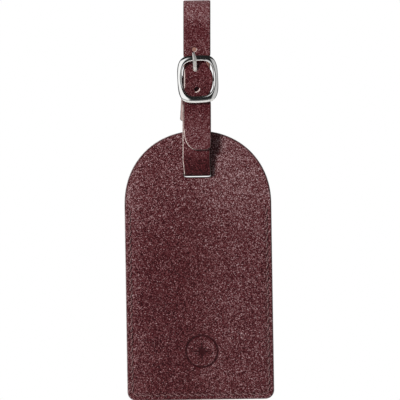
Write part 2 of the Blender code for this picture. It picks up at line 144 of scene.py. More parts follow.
def resampled(points, spacing, closed=True):
    """The same polyline with its points evenly spaced."""
    points = np.asarray(points, float)
    if closed:
        points = np.vstack([points, points[:1]])
    along = lengths_along(points)
    count = max(3, int(round(along[-1] / spacing)))
    at = np.linspace(0, along[-1], count + 1)
    if closed:
        at = at[:-1]
    return columns(*(np.interp(at, along, values) for values in points.T))


def offset(loop, distance):
    """An anticlockwise loop moved inwards by a distance, or outwards by a negative one."""
    ahead, behind = np.roll(loop, -1, axis=0), np.roll(loop, 1, axis=0)
    tangent = unit(ahead - behind)
    normal = columns(-tangent[:, 1], tangent[:, 0])
    return loop + normal * distance


def nearest(points, line, closed=True):
    """(distance, place along the line) of each point from a polyline, found for some points at a time."""
    batch = 1500
    start = line if closed else line[:-1]
    end = np.roll(line, -1, axis=0) if closed else line[1:]
    step = end - start
    length = np.linalg.norm(step, axis=1)
    along = np.concatenate([[0], np.cumsum(length)])[:-1]
    distances, places = np.empty(len(points)), np.empty(len(points))
    for low in range(0, len(points), batch):
        some = points[low : low + batch]
        relative = some[:, None, :] - start[None]
        share = np.clip((relative * step).sum(2) / (length**2), 0, 1)
        gap = np.linalg.norm(relative - share[:, :, None] * step, axis=2)
        best = gap.argmin(axis=1)
        rows = np.arange(len(some))
        distances[low : low + batch] = gap[rows, best]
        places[low : low + batch] = along[best] + share[rows, best] * length[best]
    return distances, places


def inside(points, loop):
    """Whether each point is inside a closed loop."""
    found = np.zeros(len(points), bool)
    x, y = points[:, 0], points[:, 1]
    for a, b in zip(loop, np.roll(loop, -1, axis=0)):
        crosses = (a[1] > y) != (b[1] > y)
        if a[1] != b[1]:
            found ^= crosses & (x < (b[0] - a[0]) * (y - a[1]) / (b[1] - a[1]) + a[0])
    return found


def waves(a, b, seed, size, count=5):
    """Smooth unevenness from -1 to 1, of about the given size."""
    random = np.random.default_rng(seed)
    total = np.zeros_like(a)
    for _ in range(count):
        angle, phase = random.uniform(0, 2 * math.pi, 2)
        stretch = random.uniform(0.6, 1.6)
        total += np.sin((a * math.cos(angle) + b * math.sin(angle)) * 2 * math.pi / (size * stretch) + phase)
    return total / count


def hex_grid(low, high, pitch):
    """Points in rows, each as far from its neighbours as the pitch."""
    rows = []
    height = pitch * math.sqrt(3) / 2
    for j in range(int((high[1] - low[1]) / height) + 1):
        start = low[0] + (pitch / 2 if j % 2 else 0)
        xs = np.arange(start, high[0], pitch)
        rows.append(columns(xs, np.full_like(xs, low[1] + j * height)))
    return np.vstack(rows)


# ---- Mesh builders


def new_object(name, points, faces, materials=(), indices=None):
    """A smooth mesh object from points in millimetres."""
    mesh = bpy.data.meshes.new(name)
    mesh.from_pydata((np.asarray(points) * MM).tolist(), [], faces)
    for material in materials:
        mesh.materials.append(material)
    if indices is not None:
        mesh.polygons.foreach_set("material_index", np.asarray(indices, np.int32))
    made = bmesh.new()
    made.from_mesh(mesh)
    bmesh.ops.recalc_face_normals(made, faces=made.faces)
    made.to_mesh(mesh)
    made.free()
    mesh.shade_smooth()
    obj = bpy.data.objects.new(name, mesh)
    bpy.context.scene.collection.objects.link(obj)
    return obj


def sheet_of_leather(
    name, outline, holes, rings, pitch, radius, front, back, place, materials, finish, dense=()
):
    """A cut sheet with rounded edges.

    front and back give each face's height from the middle surface, and place puts (a, b, height)
    in space. dense lists (centre, reach, pitch) of discs that get a finer mesh. The first three
    materials are the grain side's, the edges' and the flesh side's; finish(points, gap) picks the
    index for faces of the grain side from where they are and how far from a cut edge.
    """
    hole_reach, clearance, edge_band = 1.0, 0.6 * pitch, 0.2
    coords, ties, boundary = [], [], []
    for k, loop in enumerate([outline, *holes]):
        for distance in (0.0, *rings):
            if k and distance > hole_reach:
                continue
            ring = offset(loop, distance if k == 0 else -distance)
            start, count = len(coords), len(ring)
            coords += ring.tolist()
            ties += [(start + i, start + (i + 1) % count) for i in range(count)]
            if distance == 0:
                boundary.append(list(range(start, start + count)))
    low, high = outline.min(axis=0), outline.max(axis=0)
    grid = hex_grid(low, high, pitch)
    keep = inside(grid, outline) & (nearest(grid, outline)[0] > rings[-1] + clearance)
    for hole in holes:
        reach = max(r for r in rings if r <= hole_reach) + clearance
        keep &= ~inside(grid, hole) & (nearest(grid, hole)[0] > reach)
    for centre, reach, _ in dense:
        keep &= np.linalg.norm(grid - centre, axis=1) > reach
    coords += grid[keep].tolist()
    for centre, reach, fine in dense:
        disc = hex_grid(np.array(centre) - reach, np.array(centre) + reach, fine)
        coords += disc[np.linalg.norm(disc - centre, axis=1) < reach - fine].tolist()
    made, _, triangles, origins, _, _ = delaunay_2d_cdt([Vector(c) for c in coords], ties, [], 0, 1e-6)
    flat = np.array([tuple(v) for v in made])
    triangles = np.array([t for t in triangles if len(t) == 3])
    middles = flat[triangles].mean(axis=1)
    wanted = inside(middles, outline)
    for hole in holes:
        wanted &= ~inside(middles, hole)
    triangles = triangles[wanted]
    moved_to = {source: i for i, sources in enumerate(origins) for source in sources}

    gap = np.minimum.reduce([nearest(flat, loop)[0] for loop in (outline, *holes)])
    round_drop = radius - np.sqrt(np.maximum(radius**2 - np.maximum(radius - gap, 0) ** 2, 0))
    a, b = flat[:, 0], flat[:, 1]
    points = np.vstack([place(a, b, front(a, b) - round_drop), place(a, b, -(back(a, b) - round_drop))])
    count = len(flat)
    faces = triangles.tolist() + (triangles[:, ::-1] + count).tolist()
    edge_gap = gap[triangles].mean(axis=1)
    grain_side = finish(middles[wanted], edge_gap)
    indices = grain_side.tolist() + np.where(edge_gap < edge_band, CUT_EDGE, FLESH_SIDE).tolist()
    for loop in boundary:
        at = [moved_to[i] for i in loop]
        for i, j in zip(at, at[1:] + at[:1]):
            faces.append((i, j, j + count, i + count))
            indices.append(CUT_EDGE)
    used = np.unique(np.concatenate([np.array(f) for f in faces]))
    renumber = np.full(len(points), -1)
    renumber[used] = np.arange(len(used))
    faces = [tuple(int(renumber[i]) for i in f) for f in faces]
    return new_object(name, points[used], faces, materials, indices)


def frames_along(line, up):
    """Unit tangents and two cross directions along a line of 3D points; up is kept as near as it can be."""
    tangent = unit(np.gradient(line, axis=0))
    side = unit(np.cross(tangent, up))
    return tangent, side, np.cross(side, tangent)


def tube_faces(count, around, closed=False):
    """The faces between count rings of points, closed into a loop or capped at both ends."""
    faces = []
    for i in range(count if closed else count - 1):
        n = (i + 1) % count
        for j in range(around):
            k = (j + 1) % around
            faces.append((i * around + j, i * around + k, n * around + k, n * around + j))
    if not closed:
        faces.append(tuple(range(around)))
        faces.append(tuple(range((count - 1) * around, count * around)))
    return faces


def swept(line, side, lift, profile, scale=None):
    """(points, faces) of a profile of (across, lift) pairs swept along a line, with capped ends."""
    count = len(line)
    scale = np.ones((count, 2)) if scale is None else scale
    rows = [
        line[i] + side[i] * (profile[:, :1] * scale[i, 0]) + lift[i] * (profile[:, 1:] * scale[i, 1])
        for i in range(count)
    ]
    return np.vstack(rows), tube_faces(count, len(profile))


def super_curve(angles, half_width, half_height, power_x, power_z):
    """Points at some angles of an oval, which is squarer the higher its powers are."""
    cos, sin = np.cos(angles), np.sin(angles)
    x = half_width * np.sign(cos) * np.abs(cos) ** (2 / power_x)
    z = half_height * np.sign(sin) * np.abs(sin) ** (2 / power_z)
    return columns(x, z)


def super_oval(half_width, half_height, power, count):
    return super_curve(np.arange(count) * 2 * math.pi / count, half_width, half_height, power, power)


def joined(parts):
    """Several (points, faces) as one."""
    points, faces, start = [], [], 0
    for some_points, some_faces in parts:
        points.append(some_points)
        faces += [tuple(i + start for i in f) for f in some_faces]
        start += len(some_points)
    return np.vstack(points), faces


# ---- Materials


class Nodes:
    """A short way to write a node material: each call adds a node and returns it."""

    def __init__(self, name):
        self.material = bpy.data.materials.new(name)
        self.material.use_nodes = True
        self.tree = self.material.node_tree
        self.shader = self.tree.nodes["Principled BSDF"]

    def put(self, target, value):
        if isinstance(value, bpy.types.NodeSocket):
            self.tree.links.new(value, target)
        else:
            target.default_value = value

    def add(self, kind, inputs=None, **settings):
        node = self.tree.nodes.new(kind)
        for key, value in settings.items():
            setattr(node, key, value)
        for key, value in (inputs or {}).items():
            self.put(node.inputs[key], value)
        return node

    def coords(self, scale=(1, 1, 1)):
        source = self.add("ShaderNodeTexCoord").outputs["Object"]
        return self.add("ShaderNodeMapping", {"Vector": source, "Scale": scale}).outputs["Vector"]

    def axes(self, vector):
        return self.add("ShaderNodeSeparateXYZ", {"Vector": vector}).outputs

    def noise(self, vector, scale, detail=2.0, roughness=0.5):
        inputs = {"Vector": vector, "Scale": scale, "Detail": detail, "Roughness": roughness}
        return self.add("ShaderNodeTexNoise", inputs).outputs["Fac"]

    def math(self, operation, first, second=0.0, third=0.0):
        node = self.add("ShaderNodeMath", operation=operation)
        for socket, value in zip(node.inputs, (first, second, third)):
            self.put(socket, value)
        return node.outputs["Value"]

    def weighted(self, first, share, second, other_share):
        return self.math("MULTIPLY_ADD", first, share, self.math("MULTIPLY", second, other_share))

    def centred(self, value):
        return self.math("SUBTRACT", value, 0.5)

    def ramp(self, value, stops):
        node = self.add("ShaderNodeValToRGB", {"Fac": value})
        ramp = node.color_ramp
        while len(ramp.elements) < len(stops):
            ramp.elements.new(0.5)
        for element, (position, colour) in zip(ramp.elements, stops):
            element.position = position
            element.color = (*colour, 1)
        return node.outputs["Color"]

    def span(self, value, low, high, to_low=0.0, to_high=1.0):
        inputs = {"Value": value, "From Min": low, "From Max": high, "To Min": to_low, "To Max": to_high}
        return self.add("ShaderNodeMapRange", inputs).outputs["Result"]

    def smooth(self, value, low, high, level):
        """An eased step from 0 at low to level at high."""
        inputs = {"Value": value, "From Min": low, "From Max": high, "To Max": level}
        return self.add("ShaderNodeMapRange", inputs, interpolation_type="SMOOTHSTEP").outputs["Result"]

    def mix(self, share, first, second):
        """A blend of two colours; the colour sockets of this node are its inputs 6 and 7."""
        node = self.add("ShaderNodeMix", data_type="RGBA")
        self.put(node.inputs[0], share)
        for index, colour in ((6, first), (7, second)):
            linked = isinstance(colour, bpy.types.NodeSocket)
            self.put(node.inputs[index], colour if linked else (*colour, 1))
        return node.outputs[2]

    def bump(self, height, strength, distance):
        inputs = {"Height": height, "Strength": strength, "Distance": distance}
        return self.add("ShaderNodeBump", inputs).outputs["Normal"]

    def finish(self, **inputs):
        for key, value in inputs.items():
            self.put(self.shader.inputs[key.replace("_", " ")], value)
        return self.material


def grain_leather(
    name, stops, tone_and_shading, pebble=2600.0, contrast=0.88, relief_depth=0.00017, roughness=(0.44, 0.30)
):
    """Burgundy leather with a fine even pebble. stops are its colours from darkest to palest, and the
    palest of them are painted glints standing in for the grain's highlights. The third argument shifts
    the level from place to place: random tone on the pressed mark, painted sheen and painted shade on
    the panel and the strap."""
    n = Nodes(name)
    at = n.coords()
    cells = n.add("ShaderNodeTexVoronoi", {"Vector": at, "Scale": pebble}, feature="F1")
    chance = n.add("ShaderNodeSeparateColor", {"Color": cells.outputs["Color"]}).outputs["Red"]
    grain_and_glint_noise = n.noise(at, pebble, detail=1.0, roughness=0.6)
    fine = n.noise(at, pebble * 1.8, detail=3.0, roughness=0.65)
    clusters = n.noise(at, 130.0, detail=3.0)

    # The pale end of this speck level puts the grain's glints into its colour: painted highlight.
    speck_and_glint = n.weighted(n.centred(chance), 0.62, n.centred(grain_and_glint_noise), 2.3)
    level = n.math("MULTIPLY_ADD", speck_and_glint, contrast, n.span(clusters, 0.25, 0.75, 0.205, 0.245))
    level = n.math("ADD", level, tone_and_shading(n, at))
    colour = n.ramp(level, stops)

    domes = n.span(cells.outputs["Distance"], 0.10, 0.62, 1.0, 0.0)
    relief = n.math("MULTIPLY_ADD", fine, 0.40, n.weighted(grain_and_glint_noise, 0.9, domes, 0.35))
    return n.finish(
        Base_Color=colour,
        Roughness=n.span(fine, 0.3, 0.75, *roughness),
        Normal=n.bump(relief, 1.0, relief_depth),
        Specular_IOR_Level=0.14,
    )


def painted_panel_sheen(n, at):
    """Painted sheen: paler and greyer over the right half, the shoulders and the left edge; none low on the
    left.
    """
    cloud = n.centred(n.noise(at, 26.0))
    place = n.axes(at)
    across = n.math("MULTIPLY_ADD", cloud, 16 * MM, place["X"])
    height = n.math("MULTIPLY_ADD", cloud, 20 * MM, place["Z"])
    right = n.smooth(across, -6 * MM, 9 * MM, 0.11)
    left = n.smooth(across, -21 * MM, -32 * MM, 0.12)
    top = n.smooth(height, -120 * MM, -76 * MM, 0.15)
    return n.math("ADD", n.math("MAXIMUM", right, left), top)


def painted_strap_shading(n, at):
    """Painted light and shade along the strap's height: pale over the loop and near the tip, dark
    below the buckle and darkest at the slot, where the strap turns down away from the light.
    """
    share = n.span(n.axes(at)["Z"], -80 * MM, 0.0)
    stops = (
        (0.03, 0.0),
        (0.09, 0.16),
        (0.13, 0.36),
        (0.18, 0.67),
        (0.26, 0.87),
        (0.33, 0.72),
        (0.43, 0.36),
        (0.50, 0.50),
        (0.61, 0.58),
        (0.67, 0.50),
        (0.75, 0.72),
        (0.84, 0.58),
        (0.93, 1.0),
    )
    # Painted light and shade, as a level that follows the strap's height.
    painted_light = n.ramp(share, [(at_share, (level,) * 3) for at_share, level in stops])
    return n.span(painted_light, 0.0, 1.0, -0.17, 0.30)


def even_patina(n, at):
    return n.span(n.noise(at, 60.0), 0.3, 0.7, -0.04, 0.04)


def cut_edge(name, dark, light, roughness=0.75):
    """The fibrous cut edge of leather."""
    n = Nodes(name)
    at = n.coords()
    fibres = n.noise(at, 2400.0, detail=4.0, roughness=0.7)
    patches = n.noise(at, 800.0, detail=3.0)
    colour = n.ramp(n.weighted(patches, 0.6, fibres, 0.4), [(0.36, dark), (0.62, light)])
    return n.finish(
        Base_Color=colour,
        Roughness=n.span(fibres, 0.2, 0.8, roughness - 0.1, roughness + 0.1),
        Normal=n.bump(fibres, 0.7, 0.00015),
    )


def flesh_leather(name, dark, light):
    """The napped inside of leather, rubbed pale below the buckle."""
    n = Nodes(name)
    at = n.coords()
    nap = n.noise(at, 1500.0, detail=6.0, roughness=0.75)
    cloud = n.noise(at, 90.0, detail=4.0, roughness=0.6)
    colour = n.ramp(n.weighted(cloud, 0.55, nap, 0.45), [(0.36, dark), (0.64, light)])
    rubbed = n.smooth(n.axes(at)["Z"], -36 * MM, -46 * MM, 0.55)
    colour = n.mix(rubbed, colour, (0.50, 0.40, 0.39))
    return n.finish(
        Base_Color=colour,
        Roughness=n.span(nap, 0.2, 0.8, 0.8, 0.98),
        Normal=n.bump(nap, 0.8, 0.00022),
        Sheen_Weight=0.25,
        Sheen_Roughness=0.5,
    )


def thread_material(name, dark, light):
    """Waxed twisted thread; the pale of its strands is partly painted highlight, standing in for the
    stitches' glints.
    """
    n = Nodes(name)
    at = n.coords()
    strands = n.add(
        "ShaderNodeTexWave",
        {"Vector": at, "Scale": 620.0, "Distortion": 1.5, "Detail": 1.0},
        wave_type="BANDS",
        bands_direction="DIAGONAL",
    ).outputs["Fac"]
    fuzz = n.noise(at, 3000.0, detail=3.0)
    colour = n.mix(strands, dark, light)
    return n.finish(
        Base_Color=colour,
        Roughness=n.span(fuzz, 0.2, 0.8, 0.42, 0.62),
        Normal=n.bump(n.weighted(strands, 0.8, fuzz, 0.3), 0.8, 0.00012),
        Specular_IOR_Level=0.3,
    )


def nickel_material(name, dullness=0.0, colours=((0.80, 0.79, 0.76), (0.72, 0.71, 0.69))):
    """Polished nickel plate with hairlines and faint smears."""
    n = Nodes(name)
    at = n.coords()
    hairs = n.noise(n.coords((1, 1, 14)), 900.0, detail=3.0, roughness=0.7)
    smear = n.noise(at, 130.0, detail=3.0)
    colour = n.mix(n.span(smear, 0.35, 0.7), *colours)
    return n.finish(
        Base_Color=colour,
        Metallic=1.0,
        Roughness=n.math("MULTIPLY_ADD", smear, 0.10, n.math("MULTIPLY_ADD", hairs, 0.06, dullness)),
        Normal=n.bump(hairs, 0.05, 0.00008),
    )


def film_material(name):
    """Clear vinyl: nearly invisible, with a soft gloss and faint ripples."""
    n = Nodes(name)
    at = n.coords()
    ripple = n.noise(at, 70.0, detail=2.0)
    haze = n.noise(at, 600.0, detail=3.0)
    return n.finish(
        Base_Color=n.mix(haze, (0.86, 0.89, 0.92), (0.95, 0.97, 0.98)),
        Roughness=n.span(haze, 0.3, 0.7, 0.04, 0.12),
        Normal=n.bump(ripple, 0.35, 0.0006),
        Alpha=0.2,
    )


def card_material(name):
    """Off-white card, ruled with writing lines across the middle."""
    n = Nodes(name)
    at = n.coords()
    fibres = n.noise(at, 1800.0, detail=4.0, roughness=0.7)
    cloud = n.noise(at, 60.0, detail=2.0)
    paper = n.mix(n.weighted(cloud, 0.5, fibres, 0.5), (0.74, 0.71, 0.63), (0.86, 0.84, 0.77))
    pitch, half_line = 9.0 * MM, 0.022
    half_ruling, ruling_z, half_ruled_height = 17.5 * MM, -133.0 * MM, 24.0 * MM

    def within(value, limit):
        return n.math("LESS_THAN", n.math("ABSOLUTE", value), limit)

    place = n.axes(at)
    height = n.math("MULTIPLY_ADD", place["Z"], 1 / pitch, 40.0)
    line = within(n.centred(n.math("FRACT", height)), half_line)
    across = within(place["X"], half_ruling)
    up = within(n.math("SUBTRACT", place["Z"], ruling_z), half_ruled_height)
    ink = n.math("MULTIPLY", line, n.math("MULTIPLY", across, up))
    return n.finish(
        Base_Color=n.mix(n.math("MULTIPLY", ink, 0.8), paper, (0.16, 0.18, 0.24)),
        Roughness=n.span(fibres, 0.2, 0.8, 0.7, 0.9),
        Normal=n.bump(fibres, 0.3, 0.00005),
    )


# Colours of the burgundy grain from darkest to palest; the two palest stops are painted glints, the pebble's
# highlights put into its colour.
BURGUNDY_AND_GLINTS = [
    (0.00, (0.014, 0.0010, 0.0018)),
    (0.12, (0.037, 0.0032, 0.0050)),
    (0.30, (0.061, 0.0095, 0.0120)),
    (0.50, (0.098, 0.0280, 0.0310)),
    (0.72, (0.200, 0.1060, 0.1120)),
    (1.00, (0.420, 0.3100, 0.3200)),
]
PRESSED = [
    (0.10, (0.018, 0.0020, 0.0030)),
    (0.55, (0.040, 0.0070, 0.0090)),
    (1.00, (0.150, 0.0700, 0.0740)),
]
LEATHER = grain_leather("burgundy_grain", BURGUNDY_AND_GLINTS, painted_panel_sheen)
STRAP_LEATHER = grain_leather("burgundy_strap", BURGUNDY_AND_GLINTS, painted_strap_shading, 2300.0, 0.68)
PRESSED_LEATHER = grain_leather("pressed_grain", PRESSED, even_patina, 2600.0, 0.7, 0.00008, (0.36, 0.24))
BURNISHED = cut_edge("burnished_edge", (0.012, 0.006, 0.006), (0.055, 0.035, 0.034), 0.45)
PANEL_EDGE = cut_edge("painted_edge", (0.05, 0.035, 0.035), (0.26, 0.21, 0.21), 0.5)
# A pale edge colour for the strap, used only where the light falls on its edges: painted highlight.
LIT_EDGE_HIGHLIGHT = cut_edge("painted_highlight_edge", (0.24, 0.17, 0.155), (0.66, 0.56, 0.53))
DULL_EDGE = cut_edge("dull_edge", (0.035, 0.022, 0.020), (0.16, 0.12, 0.11))
FLESH = flesh_leather("flesh_side", (0.15, 0.060, 0.048), (0.33, 0.175, 0.14))
# The thread's pale strand colour is partly painted highlight.
THREAD = thread_material("waxed_thread", (0.060, 0.020, 0.022), (0.24, 0.135, 0.135))
NICKEL = nickel_material("polished_nickel")
WORN_NICKEL = nickel_material("worn_nickel", 0.27, ((0.70, 0.67, 0.63), (0.60, 0.575, 0.545)))
FILM = film_material("clear_vinyl")
CARD = card_material("ruled_card")


# ---- The sleeve: two panels, their seam, the film and the card


def tag_outline():
    arch = []
    for i in range(121):
        angle = math.pi * i / 120
        across = math.copysign(abs(math.cos(angle)) ** (2 / ARCH_POWER), math.cos(angle))
        rise = abs(math.sin(angle)) ** (2 / ARCH_POWER)
        arch.append((across * HALF_WIDTH, ARCH_FOOT + rise * ARCH_RISE))
    low = TAG_BOTTOM + CORNER_RADIUS
    return (
        arch
        + arc((TAG_LEFT + CORNER_RADIUS, low), CORNER_RADIUS, 180, 270, 12)
        + arc((TAG_RIGHT - CORNER_RADIUS, low), CORNER_RADIUS, 270, 360, 12)
    )


def seam_line():
    """The U of the seam from the left shoulder down, along the bottom and up to the right one."""
    x, low = HALF_WIDTH - SEAM_INSET, TAG_BOTTOM + SEAM_INSET
    radius = CORNER_RADIUS - SEAM_INSET / 2
    return (
        [(-x, SEAM_TOP)]
        + arc((-x + radius, low + radius), radius, 180, 270, 10)
        + arc((x - radius, low + radius), radius, 270, 360, 10)
        + [(x, SEAM_TOP)]
    )


def slot_outline():
    """Round at the top corners, cut long and low at the bottom ones."""
    half, top, long, low = SLOT_WIDTH / 2, 0.45, 2.2, 0.48
    return (
        arc((half - top, SLOT_HIGH - top), top, 0, 90, 8)
        + arc((-half + top, SLOT_HIGH - top), top, 90, 180, 8)
        + ellipse((-half + long, SLOT_LOW + low), long, low, 180, 270, 10)
        + ellipse((half - long, SLOT_LOW + low), long, low, 270, 360, 10)
    )


OUTLINE = resampled(tag_outline(), 0.6)
SEAM = resampled(seam_line(), 0.5, closed=False)
SEAM_ALONG = lengths_along(SEAM)
SEAM_LENGTH = np.linalg.norm(np.diff(SEAM, axis=0), axis=1).sum()
STITCHES = int(SEAM_LENGTH / STITCH_PITCH)
PITCH = SEAM_LENGTH / STITCHES
SLOT = resampled(slot_outline(), 0.3)
WINDOW = resampled(
    rounded_box(
        -WINDOW_WIDTH / 2,
        WINDOW_WIDTH / 2,
        WINDOW_MIDDLE - WINDOW_HEIGHT / 2,
        WINDOW_MIDDLE + WINDOW_HEIGHT / 2,
        WINDOW_RADIUS,
    ),
    0.6,
)
PANEL_RINGS = (0.04, 0.14, 0.3, 0.55, 1.0, 1.45, 1.8, 2.05, 2.3, 2.55, 2.8, 3.15, 3.7, 4.5)


def seam_relief(points):
    """How far the seam pulls the surface down: a channel, deeper at each needle hole."""
    distance, place = nearest(points, SEAM, closed=False)
    phase = np.cos(2 * math.pi * place / PITCH)
    channel = 0.20 * np.exp(-((distance / 0.75) ** 2))
    holes = 0.16 * np.clip(phase, 0, 1) ** 3 * np.exp(-((distance / 0.42) ** 2))
    roll = -0.05 * np.exp(-(((distance - 1.5) / 0.6) ** 2))
    return channel + holes + roll


def mark_relief(points):
    """The pressed mark: a plain ring with a four-pointed compass star in it."""
    centred = points - (MARK_X, MARK_Z)
    radius = np.linalg.norm(centred, axis=1)
    ring = np.abs(radius - MARK_RADIUS)
    star = []
    for i in range(16):
        reach = (5.5, 1.6, 3.4, 1.6)[i % 4]
        angle = math.pi / 2 + i * math.pi / 8
        star.append((reach * math.cos(angle), reach * math.sin(angle)))
    star_line = resampled(star, 0.25)
    edge = nearest(centred, star_line)[0]
    depth = 0.40 * np.exp(-((ring / 0.42) ** 4))
    within = inside(centred, star_line)
    sunk = np.where(within, np.clip(edge / 0.35, 0, 1), 0)
    bowl = 0.05 * np.clip(1 - (radius / (MARK_RADIUS + 1.2)) ** 6, 0, 1)
    return depth + 0.36 * sunk * sunk * (3 - 2 * sunk) + bowl


def slot_relief(points):
    """The strap's pull rounds the leather down round the slot."""
    distance = nearest(points, SLOT)[0]
    return 0.16 * np.exp(-((distance / 1.3) ** 2))


def panel(name, near, far, outward, holes, relief, dense, seed):
    """One panel between two planes of y; outward is -1 for the front panel and 1 for the back one."""
    middle, half = (near + far) / 2, abs(far - near) / 2

    def outer(a, b):
        points = columns(a, b)
        flat = half + 0.05 * waves(a, b, seed, 46) + 0.03 * waves(a, b, seed + 1, 17)
        return flat - sum(r(points) for r in relief)

    def inner(a, b):
        return np.full_like(a, half)

    def place(a, b, h):
        return columns(a, middle + outward * h, b)

    def finish(points, gap):
        """The pressed mark is smoother and darker, and a thin dark crease runs inside the pale edge."""
        creased = (gap < 0.62) & (points[:, 1] > SEAM_TOP)
        found = np.where(gap < 0.30, CUT_EDGE, np.where(creased, PANEL_PRESSED, GRAIN_SIDE))
        if dense:
            found[mark_relief(points) > 0.16] = PANEL_PRESSED
        return found

    materials = (LEATHER, PANEL_EDGE, FLESH, PRESSED_LEATHER)
    return sheet_of_leather(
        name, OUTLINE, holes, PANEL_RINGS, 1.3, 0.55, outer, inner, place, materials, finish, dense
    )


front = panel(
    "front_panel_leather",
    panel_low.y,
    panel_high.y + PANEL_LAP,
    -1,
    [SLOT],
    (seam_relief, mark_relief, slot_relief),
    [((MARK_X, MARK_Z), 9.0, 0.26)],
    3,
)
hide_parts("front_panel")
back = panel(
    "back_panel_leather", back_low.y, back_high.y, 1, [SLOT, WINDOW], (seam_relief, slot_relief), [], 11
)
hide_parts("back_panel")


def on_seam(distance):
    return np.array([np.interp(distance, SEAM_ALONG, SEAM[:, i]) for i in range(2)])


def stitch_row(name, face_y, outward, slant, replaced):
    """Slanted stitches that dip into the leather at both ends."""
    profile = super_oval(0.30, 0.27, 2.2, 10)
    parts = []
    random = np.random.default_rng(5)
    reach, half_gap = 0.3, 0.12
    for k in range(STITCHES):
        middle = (k + 0.5) * PITCH
        at = on_seam(middle)
        tangent = (on_seam(middle + reach) - at) + (at - on_seam(middle - reach))
        tangent /= np.linalg.norm(tangent)
        across = np.array([-tangent[1], tangent[0]])
        half = PITCH / 2 - half_gap
        lean = slant + random.uniform(-0.04, 0.04)
        t = np.linspace(-1, 1, 13)
        lift = 0.26 * (1 - np.abs(t) ** 3.2) - 0.34 * np.abs(t) ** 8 - 0.14
        flat = at + tangent * (t * half)[:, None] + across * (t * half * lean)[:, None]
        line = columns(flat[:, 0], face_y + outward * lift, flat[:, 1])
        _, side, up = frames_along(line, np.array([0.0, outward, 0.0]))
        taper = np.stack([1 - 0.25 * np.abs(t) ** 4] * 2, axis=1)
        parts.append(swept(line, side, up, profile, taper))
    points, faces = joined(parts)
    made = new_object(name, points, faces, (THREAD,))
    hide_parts(replaced)
    return made


needle_stitches = stitch_row("seam_stitches_front", panel_low.y, -1, -0.30, "seam_needle_thread")
bobbin_stitches = stitch_row("seam_stitches_back", back_high.y, 1, 0.30, "seam_bobbin_thread")

for node_name, node_material in (("window_film", FILM), ("address_card", CARD)):
    node_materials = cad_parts[node_name].data.materials
    node_materials.clear()
    node_materials.append(node_material)


# ---- The strap


def rounded_route(corners):
    """A (y, z) polyline through (y, z, radius) corners, each corner turned into an arc."""
    degrees_per_step, shortest = 4, 0.01
    points = [Vector(corners[0][:2])]
    for before, corner, after in zip(corners, corners[1:], corners[2:]):
        here, radius = Vector(corner[:2]), corner[2]
        incoming = (here - Vector(before[:2])).normalized()
        outgoing = (Vector(after[:2]) - here).normalized()
        turn = incoming.angle_signed(outgoing)
        setback = radius * math.tan(abs(turn) / 2)
        start = here - incoming * setback
        side = math.copysign(1, turn)
        centre = start + Vector((incoming.y, -incoming.x)) * side * radius
        spoke = start - centre
        steps = max(3, math.ceil(math.degrees(abs(turn)) / degrees_per_step))
        for i in range(steps + 1):
            angle = -turn * i / steps
            cos, sin = math.cos(angle), math.sin(angle)
            points.append(centre + Vector((spoke.x * cos - spoke.y * sin, spoke.x * sin + spoke.y * cos)))
    points.append(Vector(corners[-1][:2]))
    kept = points[:1]
    for point in points[1:]:
        if (point - kept[-1]).length > shortest:
            kept.append(point)
    return np.array([tuple(p) for p in kept])


BAR_BACK, BAR_FRONT = BAR_Y + FOLD_RADIUS, BAR_Y - FOLD_RADIUS
ROUTE_CORNERS = [
    (TURNED_Y, -53.0, 0),
    (TURNED_Y, BAR_Z - 5.0, 4),
    (BAR_BACK, BAR_Z - 1.0, 4),
    (BAR_BACK, BAR_Z + FOLD_RADIUS, FOLD_RADIUS),
    (BAR_FRONT, BAR_Z + FOLD_RADIUS, FOLD_RADIUS),
    (BAR_FRONT, BAR_Z - 1.2, 4),
    (MAIN_Y, BAR_Z - 7.7, 5),
    (MAIN_Y, -53.0, 14),
    (MAIN_Y + 1.45, -67.5, 12),
    (-SLOT_LEG_Y - 1.0, SLOT_RUN_Z, SLOT_BEND + 0.2),
    (SLOT_LEG_Y, SLOT_RUN_Z, SLOT_BEND),
    (-TAIL_Y, -46.0, 25),
    (-TAIL_Y, STRAP_THICKNESS / 2, -TAIL_Y),
    (TAIL_Y, STRAP_THICKNESS / 2, -TAIL_Y),
    (TAIL_Y, BAR_Z + 8.2, 5),
    (TAIL_OVER_BAR_Y, BAR_Z + 1.7, 5),
    (TAIL_OVER_BAR_Y, BAR_Z - 1.7, 5),
    (TAIL_Y, BAR_Z - 8.2, 3.5),
    (TAIL_Y, -53.0, 14),
    (-6.75, -66.3, 0),
]

ROUTE = resampled(rounded_route(ROUTE_CORNERS), 0.1, closed=False)
ROUTE_STEPS = np.linalg.norm(np.diff(ROUTE, axis=0), axis=1)
ROUTE_S = lengths_along(ROUTE)
TANGENT = unit(np.gradient(ROUTE, ROUTE_S, axis=0))
NORMAL = columns(TANGENT[:, 1], -TANGENT[:, 0])
BEND = np.abs(np.gradient(np.unwrap(np.arctan2(TANGENT[:, 1], TANGENT[:, 0])), ROUTE_S))
BEND = np.convolve(BEND, np.ones(15) / 15, mode="same")
SPREAD = np.clip(BEND * 3.6, 1.0, 3.2)
ROUTE_T = np.concatenate([[0], np.cumsum((SPREAD[1:] + SPREAD[:-1]) / 2 * ROUTE_STEPS)])
LENGTH_T = ROUTE_T[-1]
FOLDED_END, TAIL_START = 0.33, 0.7
LEAN = math.tan(math.radians(0.64))


